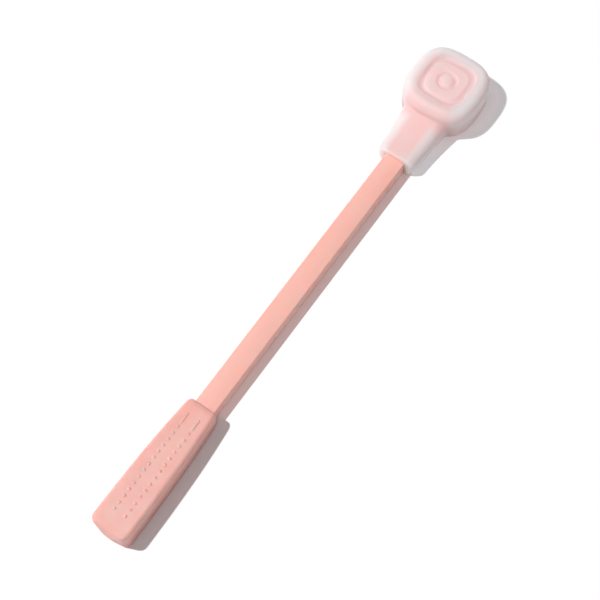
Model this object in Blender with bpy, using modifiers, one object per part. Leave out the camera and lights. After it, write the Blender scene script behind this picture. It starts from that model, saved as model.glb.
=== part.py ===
"""Massage hammer: a soft dotted grip, a flexible square rod and a frosted silicone head.

Metres, +Z up. The hammer lies on its flat back with the striking face up and the head towards +X.
The origin is the middle of its length and width, on the plane that it lies on.
"""

import math

import bmesh
import bpy
from mathutils import Matrix, Vector

# Lengths along the handle, from the butt to the far side of the head
GRIP_LENGTH = 0.098
ROD_FREE_LENGTH = 0.213
NECK_LENGTH = 0.0353
HEAD_WIDTH = 0.0537

# Clearance between touching pieces, and how far a cutter runs past what it cuts
SEAT_GAP = 0.0003
CUT_OVERRUN = 0.001

# Rod: a silicone sheath over a flat spring steel strip
ROD_WIDTH = 0.0148
ROD_HEIGHT = 0.0108
ROD_EDGE_RADIUS = 0.0009
ROD_TAIL_LENGTH = 0.012
STRIP_WIDTH = 0.01
STRIP_THICKNESS = 0.0012
STRIP_END_RADIUS = 0.002
STRIP_GRIP_REACH = 0.055
STRIP_HEAD_REACH = 0.028

# Silicone under the rod, and how far the neck clears the plane that the hammer lies on
BACK_WALL = 0.0012
NECK_LIFT = 0.0003

# How much of a mouth's wall its rounded end may take
MOUTH_WALL_SHARE = 0.8

# Grip sleeve
GRIP_BUTT_WIDTH = 0.0269
GRIP_BUTT_HEIGHT = 0.0202
GRIP_MOUTH_SIDE_WALL = 0.0025
GRIP_MOUTH_ROOF = 0.0057
GRIP_TAPER_EXPONENT = 2.7
GRIP_CORNER_RADIUS = 0.0042
GRIP_BUTT_BULGE = 0.0015
GRIP_BUTT_PLAN_RADIUS = 0.005
GRIP_FRONT_ROUND_LENGTH = 0.0042
GRIP_FRONT_SIDE_DEPTH = 0.002
GRIP_FRONT_TOP_DEPTH = 0.0032
GRIP_TOP_EDGE_RADIUS = 0.0035
GRIP_BACK_EDGE_RADIUS = 0.0008
GRIP_WALL = 0.0025
GRIP_BUTT_WALL = 0.0045
GRIP_CORE_CORNER_RADIUS = 0.0015

# Raised dots and ribs on the top of the grip
DOT_RADIUS = 0.00105
DOT_HEIGHT = 0.0006
DOT_PITCH = 0.0048
DOT_FIRST = 0.0153
DOT_ROW_SPACING = 0.0085
RIB_LENGTH = 0.008
RIB_RADIUS = 0.0007
RIB_SPACE = 0.0027
RIB_FRONT_MARGIN = 0.009

# Neck sleeve, wider and higher where it runs into the head, and how deep it bites and is rooted there
NECK_SIDE_WALL = 0.007
NECK_ROOF = 0.0037
NECK_FLARE_WIDTH = 0.005
NECK_FLARE_HEIGHT = 0.0041
NECK_FLARE_EXPONENT = 1.7
NECK_CORNER_RADIUS = 0.0072
NECK_PLAN_RADIUS = 0.0045
NECK_LIP_RADIUS = 0.002
NECK_FILLET = 0.0016
NECK_BITE = 0.0001
NECK_ROOT = 0.0015

# Head: a soft rounded square with a striking face of concentric steps
HEAD_HEIGHT = 0.029
HEAD_BACK_RADIUS = 0.0065
HEAD_CROWN_RADIUS = 0.007
RECESS_WIDTH = 0.0345
RECESS_DEPTH = 0.0014
RECESS_WALL_RUN = 0.0005
PAD_WIDTH = 0.0284
PAD_HEIGHT = 0.0009
PAD_EDGE_RUN = 0.0007
RING_RADIUS = 0.0073
RING_DEPTH = 0.0009
RING_WALL_RUN = 0.0004
NUB_RADIUS = 0.0046
NUB_HEIGHT = 0.0013

# How square each outline of the head is: 2 is a circle, and a higher exponent is squarer
HEAD_EXPONENT = 2.85
RECESS_EXPONENT = 3.8
PAD_EXPONENT = 3.4
CIRCLE_EXPONENT = 2

# Head core: a block and a back plate that clamp the end of the strip
HEAD_CORE_WIDTH = 0.035
HEAD_CORE_RADIUS = 0.009
HEAD_CORE_EDGE = 0.0009
HEAD_BACK_WALL = 0.003
HEAD_FACE_WALL = 0.0026

# Screws that hold both pairs of clamping halves, all alike
SCREW_HEAD_RADIUS = 0.0025
SCREW_HEAD_HEIGHT = 0.0015
SCREW_SHANK_RADIUS = 0.00125
SCREW_SHANK_LENGTH = 0.01
SCREW_TIP_LENGTH = 0.001
GRIP_SCREW_INSET = 0.011
GRIP_SCREW_STRIP_MARGIN = 0.012
HEAD_SCREW_INSET = 0.0075
HEAD_SCREW_STRIP_MARGIN = 0.006

# Where the sprung hinge that stands for the rod's bend lies, as a share of the free rod
FLEX_SHARE = 1 / 3

# Facets
CORNER_STEPS = 6
END_STEPS = 6
BODY_STEPS = 12
OUTLINE_COUNT = 48
FILLET_STEPS = 6
CROWN_STEPS = 7
BULGE_SHARES = (0.35, 0.7)
DOT_SEGMENTS = 10
DOT_RINGS = 6
RIB_RINGS = 7
ROUND_STEPS = 20
BEVEL_SEGMENTS = 3
CORE_CORNER_SEGMENTS = 6
WELD_DISTANCE = 0.000001
SHARP_ANGLE = math.radians(35)
SQUARE_ANGLE = math.radians(60)

# Stations and levels that follow from the sizes above
TOTAL_LENGTH = GRIP_LENGTH + ROD_FREE_LENGTH + NECK_LENGTH + HEAD_WIDTH
BUTT_X = -TOTAL_LENGTH / 2
GRIP_FRONT_X = BUTT_X + GRIP_LENGTH
NECK_X = GRIP_FRONT_X + ROD_FREE_LENGTH
HEAD_X = NECK_X + NECK_LENGTH + HEAD_WIDTH / 2
HEAD_CORE_NEAR_X = HEAD_X - HEAD_CORE_WIDTH / 2
ROD_START_X = GRIP_FRONT_X - ROD_TAIL_LENGTH
ROD_END_X = HEAD_CORE_NEAR_X - SEAT_GAP
GRIP_CORE_FRONT_X = ROD_START_X - SEAT_GAP
GRIP_CORE_REAR_X = BUTT_X + GRIP_BUTT_WALL + SEAT_GAP
STRIP_START_X = GRIP_CORE_FRONT_X - STRIP_GRIP_REACH
STRIP_END_X = HEAD_CORE_NEAR_X + STRIP_HEAD_REACH
GRIP_SCREWS_X = {
    "grip_screw_front": GRIP_CORE_FRONT_X - GRIP_SCREW_INSET,
    "grip_screw_rear": STRIP_START_X + GRIP_SCREW_STRIP_MARGIN,
}
HEAD_SCREWS_X = {
    "head_screw_near": HEAD_CORE_NEAR_X + HEAD_SCREW_INSET,
    "head_screw_far": STRIP_END_X - HEAD_SCREW_STRIP_MARGIN,
}
DOT_ROW_ROOM = GRIP_LENGTH - DOT_FIRST - RIB_SPACE - RIB_LENGTH - RIB_FRONT_MARGIN
DOT_COUNT = int(DOT_ROW_ROOM / DOT_PITCH) + 1
ROD_LOW = NECK_LIFT + BACK_WALL + SEAT_GAP
ROD_TOP = ROD_LOW + ROD_HEIGHT
ROD_MIDDLE = ROD_LOW + ROD_HEIGHT / 2
GRIP_FRONT_WIDTH = ROD_WIDTH + 2 * (SEAT_GAP + GRIP_MOUTH_SIDE_WALL)
GRIP_FRONT_HEIGHT = ROD_TOP + SEAT_GAP + GRIP_MOUTH_ROOF
NECK_MOUTH_WIDTH = ROD_WIDTH + 2 * (SEAT_GAP + NECK_SIDE_WALL)
NECK_MOUTH_TOP = ROD_TOP + SEAT_GAP + NECK_ROOF
GRIP_FRONT_SIDE_ROUNDING = min(GRIP_FRONT_SIDE_DEPTH, GRIP_MOUTH_SIDE_WALL * MOUTH_WALL_SHARE)
GRIP_FRONT_TOP_ROUNDING = min(GRIP_FRONT_TOP_DEPTH, GRIP_MOUTH_ROOF * MOUTH_WALL_SHARE)
NECK_MOUTH_ROUNDING = min(NECK_PLAN_RADIUS, NECK_SIDE_WALL * MOUTH_WALL_SHARE)
NECK_LIP_ROUNDING = min(NECK_LIP_RADIUS, NECK_ROOF * MOUTH_WALL_SHARE)
HEAD_CORE_LOW = HEAD_BACK_WALL + SEAT_GAP
HEAD_CORE_TOP = HEAD_HEIGHT - HEAD_FACE_WALL - SEAT_GAP
PIVOT = Vector((GRIP_FRONT_X + ROD_FREE_LENGTH * FLEX_SHARE, 0, ROD_MIDDLE))


def srgb(red, green, blue):
    """Linear colour of an sRGB colour given from 0 to 255."""
    shares = (value / 255 for value in (red, green, blue))
    return [s / 12.92 if s <= 0.04045 else ((s + 0.055) / 1.055) ** 2.4 for s in shares] + [1]


def material(name, colour, roughness, metallic=0):
    made = bpy.data.materials.new(name)
    made.use_nodes = True
    shader = made.node_tree.nodes["Principled BSDF"]
    shader.inputs["Base Color"].default_value = colour
    shader.inputs["Roughness"].default_value = roughness
    shader.inputs["Metallic"].default_value = metallic
    made.diffuse_color = colour
    return made


def new_collection(name):
    made = bpy.data.collections.new(name)
    bpy.context.scene.collection.children.link(made)
    return made


def add_object(name, data, place, look=None, parent=None):
    """Links an object at a place in the world: a part if it has a look, and a cutter if not."""
    made = bpy.data.objects.new(name, data)
    made.location = Vector(place)
    if parent:
        made.parent = parent
        made.location -= parent.location
    if look:
        data.materials.append(look)
        parts.objects.link(made)
    else:
        cutters.objects.link(made)
        made.hide_render = True
        made.display_type = "WIRE"
    return made


def mesh_from(name, bm):
    """Mesh with smooth faces and sharp edges, from a finished bmesh."""
    bmesh.ops.recalc_face_normals(bm, faces=bm.faces)
    mesh = bpy.data.meshes.new(name)
    bm.to_mesh(mesh)
    bm.free()
    mesh.shade_smooth()
    mesh.set_sharp_from_angle(angle=SHARP_ANGLE)
    return mesh


def combine(target, operand, operation):
    """Cuts the operand from the target, or joins it on."""
    modifier = target.modifiers.new(operand.name, "BOOLEAN")
    modifier.operation = operation
    modifier.solver = "EXACT"
    modifier.object = operand


def block(name, low, high, look=None, parent=None):
    """Box between two corners of the world, with its origin at its middle."""
    size = Vector(high) - Vector(low)
    bm = bmesh.new()
    bmesh.ops.create_cube(bm, size=1)
    bmesh.ops.scale(bm, vec=size, verts=bm.verts)
    return add_object(name, mesh_from(name, bm), Vector(low) + size / 2, look, parent)


def drum(name, radius, low, high, place_x):
    """Round upright cutter on the centre plane, from one level to another."""
    bm = bmesh.new()
    bmesh.ops.create_cone(
        bm,
        cap_ends=True,
        segments=ROUND_STEPS,
        radius1=radius,
        radius2=radius,
        depth=high - low,
    )
    return add_object(name, mesh_from(name, bm), (place_x, 0, (low + high) / 2))


def bevel_along(target, axis, radius, segments):
    """Rounds the edges of a block that run along one axis."""
    mesh = target.data
    weights = mesh.attributes.new("bevel_weight_edge", "FLOAT", "EDGE")
    for edge in mesh.edges:
        ends = [mesh.vertices[i].co for i in edge.vertices]
        run = ends[1] - ends[0]
        weights.data[edge.index].value = float(abs(run[axis]) > run.length * math.cos(SQUARE_ANGLE))
    modifier = target.modifiers.new("long_edges", "BEVEL")
    modifier.limit_method = "WEIGHT"
    modifier.width = radius
    modifier.segments = segments


def bevel_square_edges(target, width):
    """Breaks the edges that still meet squarely."""
    modifier = target.modifiers.new("square_edges", "BEVEL")
    modifier.limit_method = "ANGLE"
    modifier.angle_limit = SQUARE_ANGLE
    modifier.width = width
    modifier.segments = BEVEL_SEGMENTS


def edge_inset(distance, radius):
    """How far a rounded edge lies inside its full outline, at a distance from the end."""
    if distance >= radius:
        return 0
    return radius - math.sqrt(radius**2 - (radius - distance) ** 2)


def rounded_rectangle(width, height, radius):
    """Points of a rounded rectangle about the origin, counterclockwise from the lower right corner."""
    radius = max(min(radius, width / 2, height / 2), 0)
    points = []
    for corner, (side, level) in enumerate(((1, -1), (1, 1), (-1, 1), (-1, -1))):
        centre = (side * (width / 2 - radius), level * (height / 2 - radius))
        for step in range(CORNER_STEPS + 1):
            angle = (corner - 1 + step / CORNER_STEPS) * math.pi / 2
            points.append((centre[0] + radius * math.cos(angle), centre[1] + radius * math.sin(angle)))
    return points


def cross_ring(x, width, low, high, radius):
    """Ring across the handle at x, between two levels."""
    outline = rounded_rectangle(width, high - low, radius)
    return [Vector((x, y, (low + high) / 2 + z)) for y, z in outline]


def squircle_ring(half, exponent, level):
    """Level ring between a circle and a square, about the head's axis."""
    ring = []
    for index in range(OUTLINE_COUNT):
        angle = 2 * math.pi * index / OUTLINE_COUNT
        reach = abs(math.cos(angle)) ** exponent + abs(math.sin(angle)) ** exponent
        radius = half / reach ** (1 / exponent)
        ring.append(Vector((radius * math.cos(angle), radius * math.sin(angle), level)))
    return ring


def loft(rings, start_tip=None, end_tip=None):
    """Closed surface through rings of one count, with each end a tip or a flat cap."""
    bm = bmesh.new()
    made = [[bm.verts.new(point) for point in ring] for ring in rings]
    for ring, following in zip(made, made[1:]):
        for index, vertex in enumerate(ring):
            behind = index - 1
            bm.faces.new((ring[behind], vertex, following[index], following[behind]))
    for ring, tip in ((made[0], start_tip), (made[-1], end_tip)):
        if tip is None:
            bm.faces.new(ring)
        else:
            peak = bm.verts.new(tip)
            for index, vertex in enumerate(ring):
                bm.faces.new((ring[index - 1], vertex, peak))
    bmesh.ops.remove_doubles(bm, verts=bm.verts, dist=WELD_DISTANCE)
    return bm


def end_stations(radius):
    """Distances from a rounded end, close together where the surface turns."""
    return [radius * (1 - math.cos(step / END_STEPS * math.pi / 2)) for step in range(END_STEPS + 1)]


def grip_size(station):
    """Width and height of the grip at a distance from its butt, where its ends aren't rounded."""
    taper = max(station, 0) / GRIP_LENGTH
    taper = taper**GRIP_TAPER_EXPONENT
    width = GRIP_BUTT_WIDTH + (GRIP_FRONT_WIDTH - GRIP_BUTT_WIDTH) * taper
    height = GRIP_BUTT_HEIGHT + (GRIP_FRONT_HEIGHT - GRIP_BUTT_HEIGHT) * taper
    return width, height


def front_inset(left, depth):
    """How far the grip's front, rounded to a depth, lies inside its full outline."""
    return edge_inset(left * depth / GRIP_FRONT_ROUND_LENGTH, depth)


def grip_outer():
    """Outer form of the grip: tapered, with a convex butt and rounded ends."""
    first = GRIP_BUTT_BULGE
    span = GRIP_LENGTH - first
    butt_part = end_stations(GRIP_BUTT_PLAN_RADIUS)
    front_part = [span - distance for distance in reversed(end_stations(GRIP_FRONT_ROUND_LENGTH))]
    body = front_part[0] - butt_part[-1]
    inner = [butt_part[-1] + body * step / BODY_STEPS for step in range(1, BODY_STEPS)]
    rings = []
    for distance in butt_part + inner + front_part:
        left = span - distance
        width, height = grip_size(first + distance)
        front_side = front_inset(left, GRIP_FRONT_SIDE_ROUNDING)
        side = edge_inset(distance, GRIP_BUTT_PLAN_RADIUS) + front_side
        top = edge_inset(distance, GRIP_TOP_EDGE_RADIUS) + front_inset(left, GRIP_FRONT_TOP_ROUNDING)
        back = edge_inset(min(distance, left), GRIP_BACK_EDGE_RADIUS)
        corner = GRIP_CORNER_RADIUS - front_side
        rings.append(cross_ring(first + distance, width - 2 * side, back, height - top, corner))
    centre = sum(rings[0], Vector()) / len(rings[0])
    domed = []
    for share in BULGE_SHARES:
        rise = Vector((GRIP_BUTT_BULGE * (1 - share**2), 0, 0))
        domed.append([centre.lerp(point, share) - rise for point in rings[0]])
    return loft(domed + rings, start_tip=centre - Vector((first, 0, 0)))


def grip_inner(inset, rear, front, radius):
    """Form that follows the inside of the grip, between two stations."""
    rings = []
    for step in range(BODY_STEPS + 1):
        station = rear + (front - rear) * step / BODY_STEPS
        width, height = grip_size(station)
        rings.append(cross_ring(station, width - 2 * inset, inset, height - inset, radius))
    return loft(rings)


def on_top_of_grip(station, side):
    """Point on the grip's top, and the turn that lays a flat thing on the slope there."""
    step = RIB_LENGTH / 2
    rise = grip_size(station + step)[1] - grip_size(station - step)[1]
    turn = Matrix.Rotation(-math.atan2(rise, 2 * step), 4, "Y")
    return Matrix.Translation((station, side, grip_size(station)[1])) @ turn


def grip_bumps():
    """Two rows of low domes along the grip, each row ended by a straight rib."""
    bm = bmesh.new()
    dot_form = Matrix.Diagonal((DOT_RADIUS, DOT_RADIUS, DOT_HEIGHT, 1))
    rib_form = Matrix.Diagonal((RIB_RADIUS, RIB_RADIUS, DOT_HEIGHT, 1))
    rib_middle = DOT_FIRST + DOT_PITCH * (DOT_COUNT - 1) + RIB_SPACE + RIB_LENGTH / 2
    along = Matrix.Rotation(math.pi / 2, 4, "Y")
    for side in (-DOT_ROW_SPACING / 2, DOT_ROW_SPACING / 2):
        for index in range(DOT_COUNT):
            place = on_top_of_grip(DOT_FIRST + DOT_PITCH * index, side)
            bmesh.ops.create_uvsphere(
                bm, u_segments=DOT_SEGMENTS, v_segments=DOT_RINGS, radius=1, matrix=place @ dot_form
            )
        rib = bmesh.ops.create_uvsphere(
            bm, u_segments=DOT_SEGMENTS, v_segments=RIB_RINGS, radius=1, matrix=rib_form @ along
        )
        for vertex in rib["verts"]:
            vertex.co.x += math.copysign(RIB_LENGTH / 2 - RIB_RADIUS, vertex.co.x)
            vertex.co = on_top_of_grip(rib_middle, side) @ vertex.co
    return bm


def rod_bore(name, low_x, high_x):
    """Cutter for the square hole that the rod passes through."""
    half = ROD_WIDTH / 2 + SEAT_GAP
    low = (low_x, -half, ROD_LOW - SEAT_GAP)
    high = (high_x, half, ROD_TOP + SEAT_GAP)
    made = block(name, low, high)
    bevel_along(made, 0, ROD_EDGE_RADIUS, BEVEL_SEGMENTS)
    return made


def strip_slot(name, low_x, high_x):
    """Cutter for the flat slot that the spring strip lies in."""
    half = STRIP_WIDTH / 2 + SEAT_GAP
    rise = STRIP_THICKNESS / 2 + SEAT_GAP
    return block(name, (low_x, -half, ROD_MIDDLE - rise), (high_x, half, ROD_MIDDLE + rise))


def make_grip_sleeve(look):
    sleeve = add_object("grip_sleeve", mesh_from("grip_sleeve", grip_outer()), (BUTT_X, 0, 0), look)
    bumps = add_object("grip_bumps", mesh_from("grip_bumps", grip_bumps()), (BUTT_X, 0, 0))
    front = ROD_START_X - BUTT_X
    hollow = grip_inner(GRIP_WALL, GRIP_BUTT_WALL, front, GRIP_CORE_CORNER_RADIUS + SEAT_GAP)
    chamber = add_object("grip_chamber", mesh_from("grip_chamber", hollow), (BUTT_X, 0, 0))
    mouth = rod_bore("grip_mouth", ROD_START_X - CUT_OVERRUN, GRIP_FRONT_X + CUT_OVERRUN)
    combine(sleeve, bumps, "UNION")
    combine(sleeve, chamber, "DIFFERENCE")
    combine(sleeve, mouth, "DIFFERENCE")


def make_grip_core(look):
    """Two halves in the grip that clamp the strip, parted on the strip's own plane."""
    rear = GRIP_CORE_REAR_X - BUTT_X
    front = GRIP_CORE_FRONT_X - BUTT_X
    reach = GRIP_BUTT_WIDTH / 2
    slot = strip_slot("grip_strip_slot", STRIP_START_X - SEAT_GAP, GRIP_CORE_FRONT_X + CUT_OVERRUN)
    above = GRIP_BUTT_HEIGHT
    halves = {
        "grip_core_upper": (-CUT_OVERRUN, ROD_MIDDLE + SEAT_GAP / 2),
        "grip_core_lower": (ROD_MIDDLE - SEAT_GAP / 2, above),
    }
    for name, (low, high) in halves.items():
        form = grip_inner(GRIP_WALL + SEAT_GAP, rear, front, GRIP_CORE_CORNER_RADIUS)
        half = add_object(name, mesh_from(name, form), (BUTT_X, 0, 0), look)
        low_corner = (GRIP_CORE_REAR_X - CUT_OVERRUN, -reach, low)
        high_corner = (GRIP_CORE_FRONT_X + CUT_OVERRUN, reach, high)
        combine(half, block(name + "_part_off", low_corner, high_corner), "DIFFERENCE")
        combine(half, slot, "DIFFERENCE")
        for screw, place_x in GRIP_SCREWS_X.items():
            drill_for_screw(half, name + "_" + screw, place_x, GRIP_WALL + SEAT_GAP)


def screw_seat(plate_low):
    """Level of the underside of a screw's head, which is sunk into the plate."""
    return plate_low + SEAT_GAP + SCREW_HEAD_HEIGHT


def drill_for_screw(target, name, place_x, plate_low):
    """Counterbore and blind bore for one screw."""
    seat = screw_seat(plate_low)
    mouth = plate_low - CUT_OVERRUN
    sink = drum(name + "_sink", SCREW_HEAD_RADIUS + SEAT_GAP, mouth, seat + SEAT_GAP, place_x)
    end = seat + SCREW_SHANK_LENGTH + SEAT_GAP
    bore = drum(name + "_bore", SCREW_SHANK_RADIUS + SEAT_GAP, seat, end, place_x)
    combine(target, sink, "DIFFERENCE")
    combine(target, bore, "DIFFERENCE")


def make_screw(name, place_x, plate_low, look, parent=None):
    """Turned screw with its head down, sunk into a plate's back face."""
    profile = (
        (0, SCREW_SHANK_LENGTH),
        (SCREW_SHANK_RADIUS, SCREW_SHANK_LENGTH - SCREW_TIP_LENGTH),
        (SCREW_SHANK_RADIUS, 0),
        (SCREW_HEAD_RADIUS, 0),
        (SCREW_HEAD_RADIUS, -SCREW_HEAD_HEIGHT / 2),
        (SCREW_HEAD_RADIUS - SCREW_HEAD_HEIGHT / 2, -SCREW_HEAD_HEIGHT),
        (0, -SCREW_HEAD_HEIGHT),
    )
    bm = bmesh.new()
    vertices = [bm.verts.new((radius, 0, level)) for radius, level in profile]
    for vertex, following in zip(vertices, vertices[1:]):
        bm.edges.new((vertex, following))
    mesh = bpy.data.meshes.new(name)
    bm.to_mesh(mesh)
    bm.free()
    screw = add_object(name, mesh, (place_x, 0, screw_seat(plate_low)), look, parent)
    turn = screw.modifiers.new("turn", "SCREW")
    turn.steps = ROUND_STEPS
    turn.render_steps = ROUND_STEPS
    turn.use_merge_vertices = True
    turn.merge_threshold = WELD_DISTANCE
    turn.use_normal_calculate = True


def make_rod_sheath(look, parent):
    half = ROD_WIDTH / 2
    low = (ROD_START_X, -half, ROD_LOW)
    high = (ROD_END_X, half, ROD_TOP)
    sheath = block("rod_sheath", low, high, look, parent)
    bevel_along(sheath, 0, ROD_EDGE_RADIUS, BEVEL_SEGMENTS)
    slot = strip_slot("rod_slot", ROD_START_X - CUT_OVERRUN, ROD_END_X + CUT_OVERRUN)
    combine(sheath, slot, "DIFFERENCE")


def closed_spline(curve, points):
    spline = curve.splines.new("POLY")
    spline.points.add(len(points) - 1)
    for point, (x, y) in zip(spline.points, points):
        point.co = (x, y, 0, 1)
    spline.use_cyclic_u = True


def make_spring_strip(look, parent):
    """Flat spring with rounded corners and a hole for each screw."""
    length = STRIP_END_X - STRIP_START_X
    middle = (STRIP_START_X + STRIP_END_X) / 2
    curve = bpy.data.curves.new("strip_outline", "CURVE")
    curve.dimensions = "2D"
    curve.fill_mode = "BOTH"
    curve.extrude = STRIP_THICKNESS / 2
    closed_spline(curve, rounded_rectangle(length, STRIP_WIDTH, STRIP_END_RADIUS))
    holes = [x - middle for x in (*GRIP_SCREWS_X.values(), *HEAD_SCREWS_X.values())]
    radius = SCREW_SHANK_RADIUS + SEAT_GAP
    for hole_x in holes:
        turns = [2 * math.pi * step / ROUND_STEPS for step in range(ROUND_STEPS)]
        closed_spline(curve, [(hole_x + radius * math.cos(a), radius * math.sin(a)) for a in turns])
    outline = bpy.data.objects.new("strip_outline", curve)
    bpy.context.scene.collection.objects.link(outline)
    bpy.context.view_layer.update()
    evaluated = outline.evaluated_get(bpy.context.evaluated_depsgraph_get())
    mesh = bpy.data.meshes.new_from_object(evaluated)
    bpy.data.objects.remove(outline, do_unlink=True)
    bm = bmesh.new()
    bm.from_mesh(mesh)
    bmesh.ops.remove_doubles(bm, verts=bm.verts, dist=WELD_DISTANCE)
    add_object("spring_strip", mesh_from("spring_strip", bm), (middle, 0, ROD_MIDDLE), look, parent)


def head_puck():
    """Outer form of the head, with a striking face of rim, recess, pad, ring groove and nub."""
    half = HEAD_WIDTH / 2
    floor = HEAD_HEIGHT - RECESS_DEPTH
    pad = floor + PAD_HEIGHT
    groove = pad - RING_DEPTH
    rings = []
    for step in range(FILLET_STEPS + 1):
        angle = step / FILLET_STEPS * math.pi / 2
        inset = HEAD_BACK_RADIUS * (1 - math.sin(angle))
        rings.append(squircle_ring(half - inset, HEAD_EXPONENT, HEAD_BACK_RADIUS * (1 - math.cos(angle))))
    for step in range(CROWN_STEPS + 1):
        angle = step / CROWN_STEPS * math.pi / 2
        inset = HEAD_CROWN_RADIUS * (1 - math.cos(angle))
        level = HEAD_HEIGHT - HEAD_CROWN_RADIUS * (1 - math.sin(angle))
        exponent = HEAD_EXPONENT + (RECESS_EXPONENT - HEAD_EXPONENT) * (1 - math.cos(angle))
        rings.append(squircle_ring(half - inset, exponent, level))
    face = (
        (RECESS_WIDTH / 2, RECESS_EXPONENT, HEAD_HEIGHT),
        (RECESS_WIDTH / 2 - RECESS_WALL_RUN, RECESS_EXPONENT, floor),
        (PAD_WIDTH / 2, PAD_EXPONENT, floor),
        (PAD_WIDTH / 2 - PAD_EDGE_RUN, PAD_EXPONENT, pad),
        (RING_RADIUS, CIRCLE_EXPONENT, pad),
        (RING_RADIUS - RING_WALL_RUN, CIRCLE_EXPONENT, groove),
        (NUB_RADIUS + RING_WALL_RUN, CIRCLE_EXPONENT, groove),
    )
    rings += [squircle_ring(*row) for row in face]
    for step in range(FILLET_STEPS):
        angle = step / FILLET_STEPS * math.pi / 2
        radius = NUB_RADIUS * math.cos(angle)
        rings.append(squircle_ring(radius, CIRCLE_EXPONENT, groove + NUB_HEIGHT * math.sin(angle)))
    return loft(rings, end_tip=Vector((0, 0, groove + NUB_HEIGHT)))


def near_wall(y, level):
    """Where the head's side towards the handle lies, at a place across it and a level."""
    half = HEAD_WIDTH / 2 - edge_inset(level, HEAD_BACK_RADIUS)
    share = min(abs(y) / half, 1)
    return -half * (1 - share**HEAD_EXPONENT) ** (1 / HEAD_EXPONENT)


def neck_ring(distance, root=0):
    """Ring of the neck: flat at its mouth, and bent to the head's side where it meets that."""
    start = NECK_X - HEAD_X
    share = distance / NECK_LENGTH
    flare = share**NECK_FLARE_EXPONENT
    fillet = edge_inset(NECK_LENGTH - distance + NECK_BITE, NECK_FILLET)
    side = edge_inset(distance, NECK_MOUTH_ROUNDING)
    top = edge_inset(distance, NECK_LIP_ROUNDING)
    width = NECK_MOUTH_WIDTH + NECK_FLARE_WIDTH * flare + 2 * (fillet - side)
    high = NECK_MOUTH_TOP + NECK_FLARE_HEIGHT * flare + fillet - top
    low = NECK_LIFT + min(top, BACK_WALL / 2)
    ring = cross_ring(start, width, low, high, NECK_CORNER_RADIUS - side)
    for point in ring:
        point.x += (near_wall(point.y, point.z) + NECK_BITE / 2 - start) * share + root
    return ring


def neck_form():
    """Sleeve that flares from its mouth on the rod into the head's near side."""
    stations = set(end_stations(NECK_LIP_ROUNDING)) | set(end_stations(NECK_MOUTH_ROUNDING))
    stations |= {NECK_LENGTH - distance for distance in end_stations(NECK_FILLET)}
    body = NECK_LENGTH - NECK_MOUTH_ROUNDING - NECK_FILLET
    stations |= {NECK_MOUTH_ROUNDING + body * step / BODY_STEPS for step in range(1, BODY_STEPS)}
    rings = [neck_ring(distance) for distance in sorted(stations)]
    return loft(rings + [neck_ring(NECK_LENGTH, NECK_ROOT)])


def head_core_block(name, low, high, grow, look=None, parent=None):
    """Rounded square block between two levels, grown all round by a clearance."""
    half = HEAD_CORE_WIDTH / 2 + grow
    low_corner = (HEAD_X - half, -half, low - grow)
    high_corner = (HEAD_X + half, half, high + grow)
    made = block(name, low_corner, high_corner, look, parent)
    bevel_along(made, 2, HEAD_CORE_RADIUS, CORE_CORNER_SEGMENTS)
    return made


def make_head_cover(look, parent):
    cover = add_object("head_cover", mesh_from("head_cover", head_puck()), (HEAD_X, 0, 0), look, parent)
    neck = add_object("neck_sleeve", mesh_from("neck_sleeve", neck_form()), (HEAD_X, 0, 0))
    chamber = head_core_block("head_chamber", HEAD_CORE_LOW, HEAD_CORE_TOP, SEAT_GAP)
    bore = rod_bore("neck_bore", NECK_X - CUT_OVERRUN, HEAD_CORE_NEAR_X + CUT_OVERRUN)
    combine(cover, neck, "UNION")
    combine(cover, chamber, "DIFFERENCE")
    combine(cover, bore, "DIFFERENCE")


def make_head_core(look, parent):
    """Striking block and back plate in the head, which clamp the far end of the strip."""
    slot = strip_slot("head_strip_slot", HEAD_CORE_NEAR_X - CUT_OVERRUN, STRIP_END_X + SEAT_GAP)
    levels = {
        "head_core_block": (ROD_MIDDLE + SEAT_GAP / 2, HEAD_CORE_TOP),
        "head_core_back_plate": (HEAD_CORE_LOW, ROD_MIDDLE - SEAT_GAP / 2),
    }
    for name, (low, high) in levels.items():
        half = head_core_block(name, low, high, 0, look, parent)
        bevel_square_edges(half, HEAD_CORE_EDGE)
        combine(half, slot, "DIFFERENCE")
        for screw, place_x in HEAD_SCREWS_X.items():
            drill_for_screw(half, name + "_" + screw, place_x, HEAD_CORE_LOW)


def make_handle():
    silicone = material("soft_pink_silicone", srgb(243, 190, 182), 0.55)
    core = material("grip_core_plastic", srgb(226, 222, 218), 0.45)
    zinc = material("grip_screw_steel", srgb(190, 190, 186), 0.35, 1)
    make_grip_sleeve(silicone)
    make_grip_core(core)
    for name, place_x in GRIP_SCREWS_X.items():
        make_screw(name, place_x, GRIP_WALL + SEAT_GAP, zinc)


def make_head():
    """The head and the rod that it swings on, carried by an empty on the axis of the bend."""
    pivot = bpy.data.objects.new("rod_flex_axis", None)
    pivot.location = PIVOT
    parts.objects.link(pivot)
    rod_silicone = material("rod_pink_silicone", srgb(242, 190, 176), 0.5)
    steel = material("spring_steel", srgb(176, 178, 182), 0.3, 1)
    frosted = material("frosted_silicone", srgb(236, 224, 224), 0.5)
    core = material("head_core_plastic", srgb(243, 186, 182), 0.45)
    zinc = material("head_screw_steel", srgb(190, 190, 186), 0.35, 1)
    make_rod_sheath(rod_silicone, pivot)
    make_spring_strip(steel, pivot)
    make_head_cover(frosted, pivot)
    make_head_core(core, pivot)
    for name, place_x in HEAD_SCREWS_X.items():
        make_screw(name, place_x, HEAD_CORE_LOW, zinc, pivot)


for old in list(bpy.data.objects):
    bpy.data.objects.remove(old, do_unlink=True)
parts = new_collection("massage_hammer")
cutters = new_collection("cutters")
make_handle()
make_head()
bpy.context.view_layer.update()
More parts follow.
